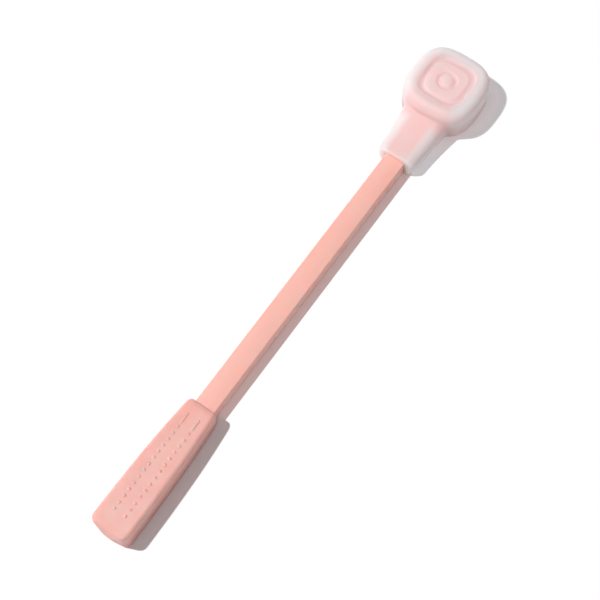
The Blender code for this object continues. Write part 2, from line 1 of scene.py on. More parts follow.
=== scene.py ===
"""Looks of the massage hammer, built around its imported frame.

Metres, +Z up. The hammer lies on its flat back with the striking face up and the head towards +X.
The grip and the head are modelled again with fine surfaces. The rod and its strip are cut into short
lengths, so that they bend. The other pieces inside keep their solids.
"""

import math

import bmesh
import bpy
from mathutils import Matrix, Vector


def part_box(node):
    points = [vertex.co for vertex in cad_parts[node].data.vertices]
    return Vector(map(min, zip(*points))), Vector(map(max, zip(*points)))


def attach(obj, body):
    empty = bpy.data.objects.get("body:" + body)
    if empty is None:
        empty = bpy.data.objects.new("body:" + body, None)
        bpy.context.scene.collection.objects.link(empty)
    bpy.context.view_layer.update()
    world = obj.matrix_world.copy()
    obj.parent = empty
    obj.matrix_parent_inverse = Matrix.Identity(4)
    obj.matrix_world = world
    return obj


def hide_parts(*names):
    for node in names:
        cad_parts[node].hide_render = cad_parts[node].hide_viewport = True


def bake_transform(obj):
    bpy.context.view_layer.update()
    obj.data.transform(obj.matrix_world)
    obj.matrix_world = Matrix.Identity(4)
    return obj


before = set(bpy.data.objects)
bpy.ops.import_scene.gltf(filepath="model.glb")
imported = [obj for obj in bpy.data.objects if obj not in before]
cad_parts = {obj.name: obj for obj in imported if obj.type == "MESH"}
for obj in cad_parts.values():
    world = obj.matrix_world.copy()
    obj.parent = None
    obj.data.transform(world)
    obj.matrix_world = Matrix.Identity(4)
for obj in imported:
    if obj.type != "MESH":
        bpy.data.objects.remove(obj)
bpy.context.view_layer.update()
GRIP_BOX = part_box("grip_sleeve")
ROD_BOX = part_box("rod_sheath")
STRIP_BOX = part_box("spring_strip")
COVER_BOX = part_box("head_cover")
CORE_BOX = (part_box("head_core_back_plate")[0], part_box("head_core_block")[1])

# Clearance between touching pieces, and how far a cutter runs past what it cuts
SEAT_GAP = 0.0003
CUT_OVERRUN = 0.001

# Grip sleeve
GRIP_TAPER_EXPONENT = 2.7
GRIP_FRONT_WIDTH = 0.0204
GRIP_FRONT_HEIGHT = 0.0186
GRIP_CORNER_RADIUS = 0.0025
GRIP_BUTT_BULGE = 0.0015
GRIP_BUTT_PLAN_RADIUS = 0.005
GRIP_FRONT_ROUND_LENGTH = 0.0042
GRIP_FRONT_SIDE_ROUNDING = 0.002
GRIP_FRONT_TOP_ROUNDING = 0.0032
GRIP_TOP_EDGE_RADIUS = 0.0028
GRIP_BACK_EDGE_RADIUS = 0.0008
GRIP_WALL = 0.0025
GRIP_BUTT_WALL = 0.0045
GRIP_CHAMBER_RADIUS = 0.0018

# Raised dots and ribs on the top of the grip
DOT_COUNT = 14
DOT_RADIUS = 0.00105
DOT_HEIGHT = 0.0006
DOT_PITCH = 0.0048
DOT_FIRST = 0.0153
DOT_ROW_SPACING = 0.0085
RIB_LENGTH = 0.008
RIB_RADIUS = 0.0007
RIB_SPACE = 0.0027

# Rod and the strip in it
ROD_EDGE_RADIUS = 0.0009
BEND_STEP = 0.003

# Neck sleeve
NECK_MOUTH_WIDTH = 0.0294
NECK_MOUTH_TOP = 0.0166
NECK_LIFT = 0.0003
NECK_FLARE_WIDTH = 0.005
NECK_FLARE_HEIGHT = 0.0041
NECK_FLARE_EXPONENT = 1.7
NECK_CORNER_RADIUS = 0.0072
NECK_PLAN_RADIUS = 0.0045
NECK_LIP_RADIUS = 0.002
NECK_LIP_UNDER = 0.0006
NECK_FILLET = 0.0016
NECK_FILLET_START = 0.0001
NECK_SINK = 0.00006
NECK_ROOT = 0.0015

# Head and its striking face
HEAD_BACK_RADIUS = 0.0065
HEAD_CROWN_RADIUS = 0.007
RECESS_WIDTH = 0.0345
RECESS_DEPTH = 0.0012
RECESS_WALL_RUN = 0.0016
PAD_WIDTH = 0.0284
PAD_HEIGHT = 0.0008
PAD_EDGE_RUN = 0.0015
RING_RADIUS = 0.0073
RING_DEPTH = 0.0008
RING_WALL_RUN = 0.0007
NUB_RADIUS = 0.0046
NUB_HEIGHT = 0.0012
FACE_EDGE_RADIUS = 0.0007
HEAD_EXPONENT = 2.85
RECESS_EXPONENT = 3.8
PAD_EXPONENT = 3.4
CIRCLE_EXPONENT = 2
HEAD_CORE_RADIUS = 0.009

# Largest share of a straight stretch in a profile that the rounding of one of its ends may take
EASE_LIMIT = 0.45

# Fineness of the surfaces: counts of steps, and the angles and distance that are still taken as none
CORNER_STEPS = 8
END_STEPS = 10
SIDE_STEPS = 16
BODY_STEPS = 80
OUTLINE_COUNT = 144
FILLET_STEPS = 12
CROWN_STEPS = 16
WALL_STEPS = 6
EDGE_STEPS = 4
ROUND_COUNT = 20
SMOOTH_ANGLE = math.radians(38)
FLAT_ANGLE = math.radians(0.5)
WELD_DISTANCE = 0.000001

# Each bump's rings from near its peak to its foot: share of its radius, share of its height
BUMP_SHARES = (
    (0.3, 0.96),
    (0.55, 0.83),
    (0.75, 0.62),
    (0.88, 0.4),
    (0.98, 0.18),
    (1.08, 0.05),
    (1.2, -0.03),
    (1.2, -0.6),
)

# The rings that close the convex butt, as shares of its outline
BULGE_SHARES = (0.2, 0.4, 0.6, 0.8)

# The pink seen through the frosted silicone: the length over which it fades beside each piece
CORE_VEIL_LENGTH = 0.0022
ROD_VEIL_LENGTH = 0.0038
ROOT_VEIL_LENGTH = 0.0045

# Its least and most share over each piece, and how little of the depth above a piece counts
CORE_VEIL_RANGE = (0.4, 0.46)
ROD_VEIL_RANGE = (0.53, 0.59)
ROOT_VEIL_RANGE = (0.56, 0.62)
DEPTH_VEIL_SHARE = 0.06

# Its edge inside the rod's, and its patch where the neck joins the head: start, half width, corners
VEIL_EDGE = 0.0012
ROOT_RUN = 0.003
ROOT_HALF_WIDTH = 0.015
ROOT_RADIUS = 0.004

# Levels between which the painted shading of the low sides fades upwards, and its run at the head's near
# wall
PINK_PAINTED_SHADING_LEVELS = (0.004, 0.016)
HEAD_PAINTED_SHADE_LEVELS = (0.006, 0.019)
HEAD_PAINTED_SHADE_RUN = 0.004

# Faces this near to a piece inside belong to the hollow that holds it
HOLLOW_REACH = 0.0009

# Colours from 0 to 255: the two between which a surface varies, and the painted shading of its low sides,
# darker on the grip and the head and redder on the rod
GRIP_PINKS = ((245, 191, 182), (240, 179, 170))
GRIP_PAINTED_SHADE = (224, 145, 137)
ROD_PINKS = ((247, 194, 181), (243, 186, 173))
ROD_PAINTED_SHADING = (255, 190, 181)
MILKS = ((239, 230, 231), (235, 226, 227))
MILK_PAINTED_SHADE = (214, 184, 184)
VEIL_PINK = (245, 177, 172)
HEAD_CORE_PINKS = ((243, 186, 182), (238, 178, 174))
GRIP_CORE_WHITES = ((226, 222, 218), (218, 214, 209))
STRIP_GREYS = ((176, 178, 182), (158, 160, 165))
SCREW_GREYS = ((190, 190, 186), (172, 172, 170))

# Shares of the lamp's red, green and blue that pass through a face on their way to a shadow
ROD_THROUGH = (0.36, 0.24, 0.22, 1)
FROST_THROUGH = (0.48, 0.47, 0.48, 1)
FROST_OVER_CORE_THROUGH = (0.66, 0.53, 0.54, 1)
HEAD_CORE_THROUGH = (0.875, 0.945, 0.945, 1)
ALL_THROUGH = (1, 1, 1, 1)

# How far light spreads inside each pink silicone
GRIP_GLOW_DEPTH = 0.004
ROD_GLOW_DEPTH = 0.003

# Stretch of a noise along X, Y and Z: the lower the number, the longer its features
EVEN_STRETCH = (1, 1, 1)
ROD_STRETCH = (0.15, 1, 1)
STRIP_STRETCH = (0.02, 1, 1)
SCREW_STRETCH = (1, 1, 0.1)

# A noise has most of its values between these two
NOISE_MIDDLE = (0.3, 0.7)

# Colour sockets of the Mix node, which share their names with its other kinds
MIX_FIRST = 6
MIX_SECOND = 7
MIX_RESULT = 2

# The photograph's frame, and where its middle and its scale lie on the hammer
IMAGE_SIZE = 600
PIXELS_PER_METRE = 1558
VIEW_CENTRE = Vector((-0.00895, -0.00708, 0.0128))
VIEW_DISTANCE = 0.827
VIEW_TURN = math.radians(-52.56)
VIEW_TILT = math.radians(22.41)
VIEW_ROLL = math.radians(-2.32)

# Light: the lamp's place, size and strength at the hammer, and the room's strength and colour
LAMP_PLACE = Vector((-0.535, 0.819, 1.861))
LAMP_RADIUS = 0.045
LAMP_STRENGTH = 2.73
ROOM_STRENGTH = 0.24
ROOM_COLOUR = (1, 0.985, 0.98, 1)
WHITE = (1, 1, 1, 1)

# Floor: how far it lies under the hammer, its half size, its colour, and its glow towards the camera
FLOOR_DROP = 0.00005
FLOOR_HALF = 1.2
FLOOR_COLOUR = (0.95, 0.95, 0.955, 1)
FLOOR_GLOW = 0.08

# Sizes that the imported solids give
BUTT_X = GRIP_BOX[0].x
GRIP_LENGTH = GRIP_BOX[1].x - BUTT_X
GRIP_BUTT_WIDTH = GRIP_BOX[1].y - GRIP_BOX[0].y
GRIP_BUTT_HEIGHT = GRIP_BOX[1].z - DOT_HEIGHT
ROD_WIDTH = ROD_BOX[1].y - ROD_BOX[0].y
HEAD_WIDTH = COVER_BOX[1].y - COVER_BOX[0].y
HEAD_HEIGHT = COVER_BOX[1].z
HEAD_X = COVER_BOX[1].x - HEAD_WIDTH / 2
NECK_X = COVER_BOX[0].x
NECK_LENGTH = HEAD_X - HEAD_WIDTH / 2 - NECK_X


def edge_inset(distance, radius):
    """How far a rounded edge lies inside its full outline, at a distance from the end."""
    if distance >= radius:
        return 0
    return radius - math.sqrt(radius**2 - (radius - distance) ** 2)


def end_stations(radius):
    """Distances from a rounded end, close together where the surface turns."""
    return [radius * (1 - math.cos(step / END_STEPS * math.pi / 2)) for step in range(END_STEPS + 1)]


def rounded_rectangle(width, height, radius):
    """Points of a rounded rectangle about the origin, counterclockwise, with its sides divided."""
    points = []
    for corner, (side, level) in enumerate(((1, -1), (1, 1), (-1, 1), (-1, -1))):
        centre = Vector((side * (width / 2 - radius), level * (height / 2 - radius)))
        arc = []
        for step in range(CORNER_STEPS + 1):
            angle = (corner - 1 + step / CORNER_STEPS) * math.pi / 2
            arc.append(centre + radius * Vector((math.cos(angle), math.sin(angle))))
        if points:
            points += between(points[-1], arc[0])
        points += arc
    return points + between(points[-1], points[0])


def between(start, end):
    """Points that divide a straight side."""
    return [start.lerp(end, step / SIDE_STEPS) for step in range(1, SIDE_STEPS)]


def cross_ring(x, width, low, high, radius):
    """Ring across the handle at x, between two levels."""
    middle = (low + high) / 2
    return [Vector((x, y, middle + z)) for y, z in rounded_rectangle(width, high - low, radius)]


def squircle_ring(half, exponent, level):
    """Level ring between a circle and a square, about the head's axis."""
    ring = []
    for index in range(OUTLINE_COUNT):
        angle = 2 * math.pi * index / OUTLINE_COUNT
        reach = abs(math.cos(angle)) ** exponent + abs(math.sin(angle)) ** exponent
        radius = half / reach ** (1 / exponent)
        ring.append(Vector((HEAD_X + radius * math.cos(angle), radius * math.sin(angle), level)))
    return ring


def loft(rings, start_tip=None, end_tip=None):
    """Closed surface through rings of one count, with each end a tip or a flat cap."""
    bm = bmesh.new()
    made = [[bm.verts.new(point) for point in ring] for ring in rings]
    for ring, following in zip(made, made[1:]):
        for index, vertex in enumerate(ring):
            bm.faces.new((ring[index - 1], vertex, following[index], following[index - 1]))
    for ring, tip in ((made[0], start_tip), (made[-1], end_tip)):
        if tip is None:
            bm.faces.new(ring)
        else:
            peak = bm.verts.new(tip)
            for index, vertex in enumerate(ring):
                bm.faces.new((ring[index - 1], vertex, peak))
    bmesh.ops.remove_doubles(bm, verts=bm.verts, dist=WELD_DISTANCE)
    return bm


def add_object(name, bm):
    """New object from a finished bmesh, with its faces pointing out."""
    bmesh.ops.recalc_face_normals(bm, faces=bm.faces)
    mesh = bpy.data.meshes.new(name)
    bm.to_mesh(mesh)
    bm.free()
    made = bpy.data.objects.new(name, mesh)
    bpy.context.scene.collection.objects.link(made)
    return made


def combine(target, operand, operation):
    """Cuts the operand from the target or joins it on, for good."""
    modifier = target.modifiers.new(operation, "BOOLEAN")
    modifier.operation = operation
    modifier.solver = "EXACT"
    modifier.object = operand
    evaluated = target.evaluated_get(bpy.context.evaluated_depsgraph_get())
    mesh = bpy.data.meshes.new_from_object(evaluated)
    target.modifiers.clear()
    target.data = mesh
    bpy.data.objects.remove(operand, do_unlink=True)


def smooth(piece):
    """Shades a piece smooth, except across its hard edges."""
    piece.data.shade_smooth()
    piece.data.set_sharp_from_angle(angle=SMOOTH_ANGLE)


def finish_with(piece, look, slot, body, *nodes):
    """Gives a piece its material and its body, and hides the nodes that it stands for. The slot is not
    used.
    """
    smooth(piece)
    piece.data.materials.clear()
    piece.data.materials.append(look)
    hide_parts(*nodes)
    if body:
        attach(piece, body)


def grip_size(station):
    """Width and height of the grip at a distance from its butt, where its ends aren't rounded."""
    taper = (max(station, 0) / GRIP_LENGTH) ** GRIP_TAPER_EXPONENT
    width = GRIP_BUTT_WIDTH + (GRIP_FRONT_WIDTH - GRIP_BUTT_WIDTH) * taper
    height = GRIP_BUTT_HEIGHT + (GRIP_FRONT_HEIGHT - GRIP_BUTT_HEIGHT) * taper
    return width, height


def front_inset(left, depth):
    """How far the grip's front, rounded to a depth, lies inside its full outline."""
    return edge_inset(left * depth / GRIP_FRONT_ROUND_LENGTH, depth)


def grip_outer():
    """Outer form of the grip: tapered, with a convex butt and rounded ends."""
    span = GRIP_LENGTH - GRIP_BUTT_BULGE
    butt_part = end_stations(GRIP_BUTT_PLAN_RADIUS)
    front_part = [span - distance for distance in reversed(end_stations(GRIP_FRONT_ROUND_LENGTH))]
    step_length = (front_part[0] - butt_part[-1]) / BODY_STEPS
    inner = [butt_part[-1] + step_length * step for step in range(1, BODY_STEPS)]
    rings = []
    for distance in butt_part + inner + front_part:
        left = span - distance
        station = GRIP_BUTT_BULGE + distance
        width, height = grip_size(station)
        front_side = front_inset(left, GRIP_FRONT_SIDE_ROUNDING)
        width -= 2 * (edge_inset(distance, GRIP_BUTT_PLAN_RADIUS) + front_side)
        front_top = front_inset(left, GRIP_FRONT_TOP_ROUNDING)
        high = height - edge_inset(distance, GRIP_TOP_EDGE_RADIUS) - front_top
        low = edge_inset(min(distance, left), GRIP_BACK_EDGE_RADIUS)
        rings.append(cross_ring(BUTT_X + station, width, low, high, GRIP_CORNER_RADIUS - front_side))
    centre = sum(rings[0], Vector()) / len(rings[0])
    domed = []
    for share in BULGE_SHARES:
        rise = Vector((GRIP_BUTT_BULGE * (1 - share**2), 0, 0))
        domed.append([centre.lerp(point, share) - rise for point in rings[0]])
    return loft(domed + rings, start_tip=centre - Vector((GRIP_BUTT_BULGE, 0, 0)))


def grip_chamber():
    """Space inside the grip that its core fills."""
    front = ROD_BOX[0].x - BUTT_X
    rings = []
    for step in range(BODY_STEPS + 1):
        station = GRIP_BUTT_WALL + (front - GRIP_BUTT_WALL) * step / BODY_STEPS
        width, height = grip_size(station)
        across = width - 2 * GRIP_WALL
        levels = (GRIP_WALL, height - GRIP_WALL)
        rings.append(cross_ring(BUTT_X + station, across, *levels, GRIP_CHAMBER_RADIUS))
    return loft(rings)


def on_top_of_grip(station, side):
    """Place on the grip's top, turned so that a flat thing lies on the slope there."""
    step = RIB_LENGTH / 2
    rise = grip_size(station + step)[1] - grip_size(station - step)[1]
    turn = Matrix.Rotation(-math.atan2(rise, 2 * step), 4, "Y")
    return Matrix.Translation((BUTT_X + station, side, grip_size(station)[1])) @ turn


def bump_form(place, radius, half_length):
    """Low bump with a soft foot: a round dot, or a rib if it has a half length."""
    rings = []
    for reach, rise in BUMP_SHARES:
        ring = []
        for index in range(ROUND_COUNT):
            angle = 2 * math.pi * (index + 0.5) / ROUND_COUNT
            x = reach * radius * math.cos(angle) + math.copysign(half_length, math.cos(angle))
            ring.append(place @ Vector((x, reach * radius * math.sin(angle), rise * DOT_HEIGHT)))
        rings.append(ring)
    return rings


def add_bumps(sleeve):
    """Joins two rows of dots onto the grip's top, each row ended by a straight rib."""
    rib_middle = DOT_FIRST + DOT_PITCH * (DOT_COUNT - 1) + RIB_SPACE + RIB_LENGTH / 2
    bumps = [(DOT_FIRST + DOT_PITCH * index, DOT_RADIUS, 0) for index in range(DOT_COUNT)]
    bumps.append((rib_middle, RIB_RADIUS, RIB_LENGTH / 2 - RIB_RADIUS))
    together = bmesh.new()
    for side in (-DOT_ROW_SPACING / 2, DOT_ROW_SPACING / 2):
        for station, radius, half_length in bumps:
            place = on_top_of_grip(station, side)
            peak = None if half_length else place @ Vector((0, 0, DOT_HEIGHT))
            bump = loft(bump_form(place, radius, half_length), start_tip=peak)
            mesh = bpy.data.meshes.new("bump")
            bump.to_mesh(mesh)
            bump.free()
            together.from_mesh(mesh)
            bpy.data.meshes.remove(mesh)
    combine(sleeve, add_object("bumps", together), "UNION")


def rod_bore(low_x, high_x):
    """Cutter for the square hole that the rod passes through."""
    width = ROD_WIDTH + 2 * SEAT_GAP
    levels = (ROD_BOX[0].z - SEAT_GAP, ROD_BOX[1].z + SEAT_GAP)
    rings = [cross_ring(x, width, *levels, ROD_EDGE_RADIUS) for x in (low_x, high_x)]
    return add_object("bore", loft(rings))


def make_grip(look):
    """Grip with its dots and ribs, hollow for its core and open for the rod."""
    grip = add_object("grip", grip_outer())
    add_bumps(grip)
    hollow = add_object("chamber", grip_chamber())
    combine(hollow, rod_bore(ROD_BOX[0].x - CUT_OVERRUN, GRIP_BOX[1].x + CUT_OVERRUN), "UNION")
    combine(grip, hollow, "DIFFERENCE")
    finish_with(grip, look, "grip_silicone", "handle", "grip_sleeve")


def divided_copy(name, node, look, slot):
    """Copy of a node, cut into short lengths where the rod is free, so that it can bend."""
    bm = bmesh.new()
    bm.from_mesh(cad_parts[node].data)
    bmesh.ops.remove_doubles(bm, verts=bm.verts, dist=WELD_DISTANCE)
    bmesh.ops.dissolve_limit(bm, angle_limit=FLAT_ANGLE, verts=bm.verts, edges=bm.edges)
    count = math.ceil((NECK_X - GRIP_BOX[1].x) / BEND_STEP)
    for step in range(count + 1):
        x = GRIP_BOX[1].x + (NECK_X - GRIP_BOX[1].x) * step / count
        geometry = bm.verts[:] + bm.edges[:] + bm.faces[:]
        bmesh.ops.bisect_plane(bm, geom=geometry, plane_co=(x, 0, 0), plane_no=(1, 0, 0))
    made = add_object(name, bm)
    finish_with(made, look, slot, None, node)
    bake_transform(made)


def near_wall(y, level):
    """Where the head's side towards the handle lies, at a place across it and a level."""
    half = HEAD_WIDTH / 2 - edge_inset(level, HEAD_BACK_RADIUS)
    share = min(abs(y) / half, 1)
    return HEAD_X - half * (1 - share**HEAD_EXPONENT) ** (1 / HEAD_EXPONENT)


def neck_ring(distance, root=0):
    """Ring of the neck: flat at its mouth, and bent to the head's side where it meets that."""
    share = distance / NECK_LENGTH
    flare = share**NECK_FLARE_EXPONENT
    fillet = edge_inset(NECK_LENGTH - distance + NECK_FILLET_START, NECK_FILLET)
    side = edge_inset(distance, NECK_PLAN_RADIUS)
    top = edge_inset(distance, NECK_LIP_RADIUS)
    width = NECK_MOUTH_WIDTH + NECK_FLARE_WIDTH * flare + 2 * (fillet - side)
    high = NECK_MOUTH_TOP + NECK_FLARE_HEIGHT * flare + fillet - top
    low = NECK_LIFT + min(top, NECK_LIP_UNDER)
    ring = cross_ring(NECK_X, width, low, high, NECK_CORNER_RADIUS - side)
    for point in ring:
        point.x += (near_wall(point.y, point.z) + NECK_SINK - NECK_X) * share + root
    return ring


def neck_form():
    """Sleeve that flares from its mouth on the rod into the head's near side."""
    stations = set(end_stations(NECK_LIP_RADIUS)) | set(end_stations(NECK_PLAN_RADIUS))
    stations |= {NECK_LENGTH - distance for distance in end_stations(NECK_FILLET)}
    body = NECK_LENGTH - NECK_PLAN_RADIUS - NECK_FILLET
    stations |= {NECK_PLAN_RADIUS + body * step / BODY_STEPS for step in range(1, BODY_STEPS)}
    rings = [neck_ring(distance) for distance in sorted(stations)]
    rings.append(neck_ring(NECK_LENGTH, NECK_ROOT))
    return loft(rings)


def eased(profile, radius):
    """Rounds each inner corner of a profile of (half width, exponent, level) rows."""
    rows = [profile[0]]
    for before, corner, after in zip(profile, profile[1:], profile[2:]):
        corner = Vector(corner)
        ends = []
        for other in (before, after):
            run = Vector(other) - corner
            length = math.hypot(run[0], run[2])
            ends.append(corner + run * min(radius / length, EASE_LIMIT))
        for step in range(EDGE_STEPS + 1):
            share = step / EDGE_STEPS
            arriving = ends[0].lerp(corner, share)
            leaving = corner.lerp(ends[1], share)
            rows.append(arriving.lerp(leaving, share))
    return rows + [profile[-1]]


def head_puck():
    """Outer form of the head, with a striking face of rim, recess, pad, ring groove and nub."""
    half = HEAD_WIDTH / 2
    recess = HEAD_HEIGHT - RECESS_DEPTH
    pad = recess + PAD_HEIGHT
    groove = pad - RING_DEPTH
    nub_foot = RING_WALL_RUN / 2
    rows = []
    for step in range(FILLET_STEPS + 1):
        angle = step / FILLET_STEPS * math.pi / 2
        inset = HEAD_BACK_RADIUS * (1 - math.sin(angle))
        rows.append((half - inset, HEAD_EXPONENT, HEAD_BACK_RADIUS * (1 - math.cos(angle))))
    wall = HEAD_HEIGHT - HEAD_CROWN_RADIUS - HEAD_BACK_RADIUS
    for step in range(1, WALL_STEPS):
        rows.append((half, HEAD_EXPONENT, HEAD_BACK_RADIUS + wall * step / WALL_STEPS))
    for step in range(CROWN_STEPS + 1):
        angle = step / CROWN_STEPS * math.pi / 2
        inset = HEAD_CROWN_RADIUS * (1 - math.cos(angle))
        exponent = HEAD_EXPONENT + (RECESS_EXPONENT - HEAD_EXPONENT) * (1 - math.cos(angle))
        rows.append((half - inset, exponent, HEAD_HEIGHT - HEAD_CROWN_RADIUS * (1 - math.sin(angle))))
    face = [
        rows[-1],
        (RECESS_WIDTH / 2, RECESS_EXPONENT, HEAD_HEIGHT),
        (RECESS_WIDTH / 2 - RECESS_WALL_RUN, RECESS_EXPONENT, recess),
        (PAD_WIDTH / 2, PAD_EXPONENT, recess),
        (PAD_WIDTH / 2 - PAD_EDGE_RUN, PAD_EXPONENT, pad),
        (RING_RADIUS, CIRCLE_EXPONENT, pad),
        (RING_RADIUS - RING_WALL_RUN, CIRCLE_EXPONENT, groove),
        (NUB_RADIUS + RING_WALL_RUN, CIRCLE_EXPONENT, groove),
        (NUB_RADIUS, CIRCLE_EXPONENT, groove + nub_foot),
    ]
    rows += eased(face, FACE_EDGE_RADIUS)[1:]
    for step in range(1, FILLET_STEPS):
        angle = step / FILLET_STEPS * math.pi / 2
        rise = nub_foot + (NUB_HEIGHT - nub_foot) * math.sin(angle)
        rows.append((NUB_RADIUS * math.cos(angle), CIRCLE_EXPONENT, groove + rise))
    tip = Vector((HEAD_X, 0, groove + NUB_HEIGHT))
    return loft([squircle_ring(*row) for row in rows], end_tip=tip)


def core_chamber():
    """Cutter for the space that the head's core fills."""
    size = CORE_BOX[1] - CORE_BOX[0]
    outline = rounded_rectangle(size.x + 2 * SEAT_GAP, size.y + 2 * SEAT_GAP, HEAD_CORE_RADIUS)
    levels = (CORE_BOX[0].z - SEAT_GAP, CORE_BOX[1].z + SEAT_GAP)
    rings = [[Vector((HEAD_X + x, y, z)) for x, y in outline] for z in levels]
    return add_object("chamber", loft(rings))


def make_head(look):
    """Head and neck in one, hollow for the core and open for the rod."""
    head = add_object("head", head_puck())
    combine(head, add_object("neck", neck_form()), "UNION")
    hollow = core_chamber()
    combine(hollow, rod_bore(NECK_X - CUT_OVERRUN, CORE_BOX[0].x + CUT_OVERRUN), "UNION")
    combine(head, hollow, "DIFFERENCE")
    finish_with(head, look, "frosted_silicone", "head", "head_cover")


def srgb(red, green, blue):
    """Linear colour of an sRGB colour given from 0 to 255."""
    shares = (value / 255 for value in (red, green, blue))
    return [s / 12.92 if s <= 0.04045 else ((s + 0.055) / 1.055) ** 2.4 for s in shares] + [1]


class Look:
    """Material under construction: its shader, and short ways to add and join nodes."""

    def __init__(self, name, **sockets):
        self.material = bpy.data.materials.new(name)
        self.material.use_nodes = True
        self.tree = self.material.node_tree
        self.shader = self.tree.nodes["Principled BSDF"]
        for socket, value in sockets.items():
            self.shader.inputs[socket.replace("_", " ")].default_value = value
        self.place = self.add("TexCoord").outputs["Object"]

    def fill(self, socket, value):
        """Sets an input to a value, or links it to another node's output."""
        if isinstance(value, bpy.types.NodeSocket):
            self.tree.links.new(value, socket)
        else:
            socket.default_value = value

    def add(self, kind, *inputs, **settings):
        """Adds a node, sets its settings, and fills its inputs in order."""
        made = self.tree.nodes.new("ShaderNode" + kind)
        for name, value in settings.items():
            setattr(made, name, value)
        for socket, value in zip(made.inputs, inputs):
            self.fill(socket, value)
        return made

    def use(self, socket, value):
        """Links an output to one of the shader's own inputs."""
        self.fill(self.shader.inputs[socket], value)

    def number(self, operation, *inputs):
        """Output of a Math node."""
        return self.add("Math", *inputs, operation=operation).outputs[0]

    def vector(self, operation, *inputs):
        """Output of a Vector Math node."""
        made = self.add("VectorMath", *inputs, operation=operation)
        return made.outputs["Value" if operation == "LENGTH" else "Vector"]

    def noise(self, scale, stretch=EVEN_STRETCH, detail=3):
        """Noise with features of about 1 / scale metres, stretched along an axis by a low share there."""
        made = self.add("TexNoise")
        self.fill(made.inputs["Vector"], self.vector("MULTIPLY", self.place, stretch))
        self.fill(made.inputs["Scale"], scale)
        self.fill(made.inputs["Detail"], detail)
        return made.outputs["Fac"]

    def ramp(self, value, start, end, first, last):
        """Maps start to end onto first to last, and stays at those beyond them."""
        return self.add("MapRange", value, start, end, first, last).outputs[0]

    def spread(self, noise, low, high):
        """Maps a noise's middle range onto low to high."""
        return self.ramp(noise, *NOISE_MIDDLE, low, high)

    def along(self, axis):
        """The place along X, Y or Z, in metres."""
        return self.add("SeparateXYZ", self.place).outputs[axis]

    def mix(self, share, first, second):
        """Colour between two colours."""
        made = self.add("Mix", data_type="RGBA")
        self.fill(made.inputs["Factor"], share)
        self.fill(made.inputs[MIX_FIRST], first)
        self.fill(made.inputs[MIX_SECOND], second)
        return made.outputs[MIX_RESULT]

    def vary(self, noise, colours):
        """Colour that varies between two sRGB colours with a noise."""
        first, second = colours
        return self.mix(self.spread(noise, 0, 1), srgb(*first), srgb(*second))

    def distance_to(self, low, high, plan_radius=0.0, depth_share=1.0):
        """Distance in metres to a block with rounded upright edges. Only a share of the height counts."""
        half = (high - low) / 2
        apart = self.vector("ABSOLUTE", self.vector("SUBTRACT", self.place, (low + high) / 2))
        past = self.vector("SUBTRACT", apart, half - Vector((plan_radius, plan_radius, 0)))
        past = self.vector("MAXIMUM", past, (0, 0, 0))
        beside = self.vector("LENGTH", self.vector("MULTIPLY", past, (1, 1, 0)))
        beside = self.number("MAXIMUM", self.number("SUBTRACT", beside, plan_radius), 0.0)
        above = self.vector("LENGTH", self.vector("MULTIPLY", past, (0, 0, depth_share)))
        return self.number("ADD", beside, above)

    def veil(self, low, high, plan_radius, length):
        """1 over a block, which falls over a length beside it and hardly with the depth above it."""
        distance = self.distance_to(low, high, plan_radius, DEPTH_VEIL_SHARE)
        return self.number("EXPONENT", self.number("MULTIPLY", distance, -1 / length))

    def let_lamps_through(self, tone, *held):
        """Lets a share of the lamp's light through each outer face, and all of it through the faces
        of the hollows that hold a piece, so that the shadow is lighter and even."""
        for low, high in held:
            near = self.number("LESS_THAN", self.distance_to(low, high), HOLLOW_REACH)
            tone = self.mix(near, tone, ALL_THROUGH)
        clear = self.add("BsdfTransparent", tone)
        path = self.add("LightPath").outputs["Is Shadow Ray"]
        mixer = self.add("MixShader", path, self.shader.outputs[0], clear.outputs[0])
        self.fill(self.tree.nodes["Material Output"].inputs["Surface"], mixer.outputs[0])

    def bump(self, height, strength, distance):
        """Fine relief of the shaded surface."""
        made = self.add("Bump")
        self.fill(made.inputs["Strength"], strength)
        self.fill(made.inputs["Distance"], distance)
        self.fill(made.inputs["Height"], height)
        self.use("Normal", made.outputs["Normal"])


def pink_silicone(name, pinks, painted_side_shading, depth, stretch=EVEN_STRETCH, through=None):
    """Matte pink silicone: faint clouds, painted shading at its low sides, a dusty sheen and its mould's
    grain.
    """
    look = Look(
        name,
        Subsurface_Weight=0.8,
        Subsurface_Radius=(1.0, 0.25, 0.2),
        Subsurface_Scale=depth,
        Specular_IOR_Level=0.35,
        Sheen_Weight=0.08,
        Sheen_Roughness=0.5,
    )
    tone = look.vary(look.noise(scale=70, stretch=stretch), pinks)
    # Painted shading: the low sides take a darker colour on the grip and a redder one on the rod, fading
    # upwards
    low = look.ramp(look.along("Z"), *PINK_PAINTED_SHADING_LEVELS, 1, 0)
    look.use("Base Color", look.mix(low, tone, srgb(*painted_side_shading)))
    grain = look.noise(scale=4500, detail=2)
    look.use("Roughness", look.spread(grain, low=0.5, high=0.62))
    look.bump(grain, strength=0.12, distance=0.00004)
    if through:
        look.let_lamps_through(through, STRIP_BOX)
    return look.material


